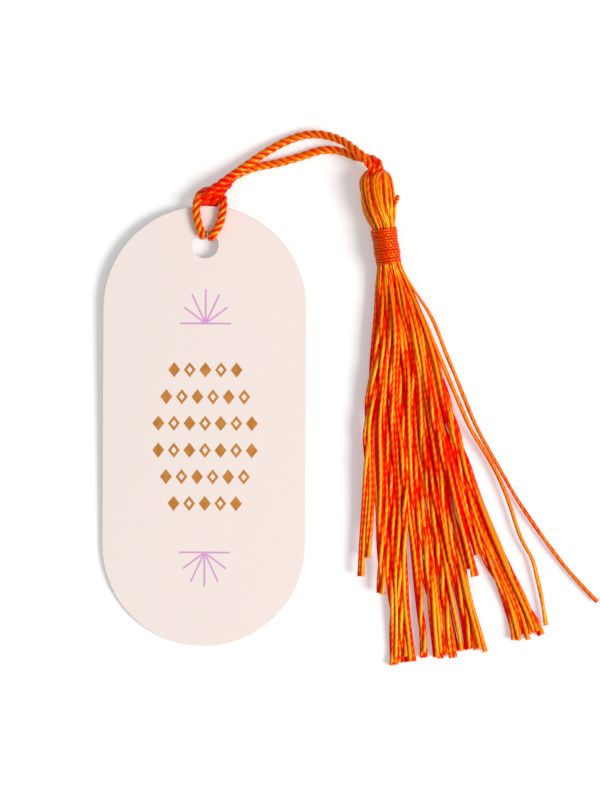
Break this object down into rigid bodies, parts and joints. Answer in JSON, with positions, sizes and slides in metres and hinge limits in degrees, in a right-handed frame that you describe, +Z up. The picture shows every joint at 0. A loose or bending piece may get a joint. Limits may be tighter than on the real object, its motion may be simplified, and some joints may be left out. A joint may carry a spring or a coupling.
{
  "type": "tasselled bookmark",
  "caption": "Flat card bookmark with rounded ends and a punched hole, with a twisted hanging cord hitched through the hole and a long yarn tassel on the cord.",
  "frame": {"origin": "on the table, under the middle of the card", "axes": "+Y along the card towards its punched end, +Z up out of the printed face"},
  "size_m": [0.1449, 0.1567, 0.0098],
  "materials": {
    "card": "matt, uncoated board with foil and ink printing",
    "cord": "silky twisted rayon cord",
    "yarn": "silky two-ply rayon yarn",
    "thread": "silky rayon thread"
  },
  "bodies": {
    "card": {"card": "card", "hitch_bight": "cord", "hitch_standing_left": "cord", "hitch_standing_right": "cord"},
    "loop": {"loop_strand_upper": "cord", "loop_strand_lower": "cord"},
    "tassel": {"yarn_01": "yarn", "yarn_02": "yarn", "yarn_03": "yarn", "yarn_04": "yarn", "yarn_05": "yarn", "yarn_06": "yarn", "yarn_07": "yarn", "yarn_08": "yarn", "yarn_09": "yarn", "yarn_10": "yarn", "yarn_11": "yarn", "yarn_12": "yarn", "yarn_13": "yarn", "yarn_14": "yarn", "yarn_15": "yarn", "yarn_16": "yarn", "yarn_17": "yarn", "yarn_18": "yarn", "yarn_19": "yarn", "yarn_20": "yarn", "yarn_21": "yarn", "yarn_22": "yarn", "neck_binding": "thread"}
  },
  "joints": [
    {"name": "loop_swing", "type": "hinge", "parent": "card", "child": "loop", "pos_m": [0.0077, 0.0737, 0.003], "axis": [0, 0, 1], "range_deg": [-3, 60]},
    {"name": "tassel_swing", "type": "hinge", "parent": "loop", "child": "tassel", "pos_m": [0.0496, 0.0763, 0.0049], "axis": [0, 0, 1], "range_deg": [-3, 110]}
  ]
}
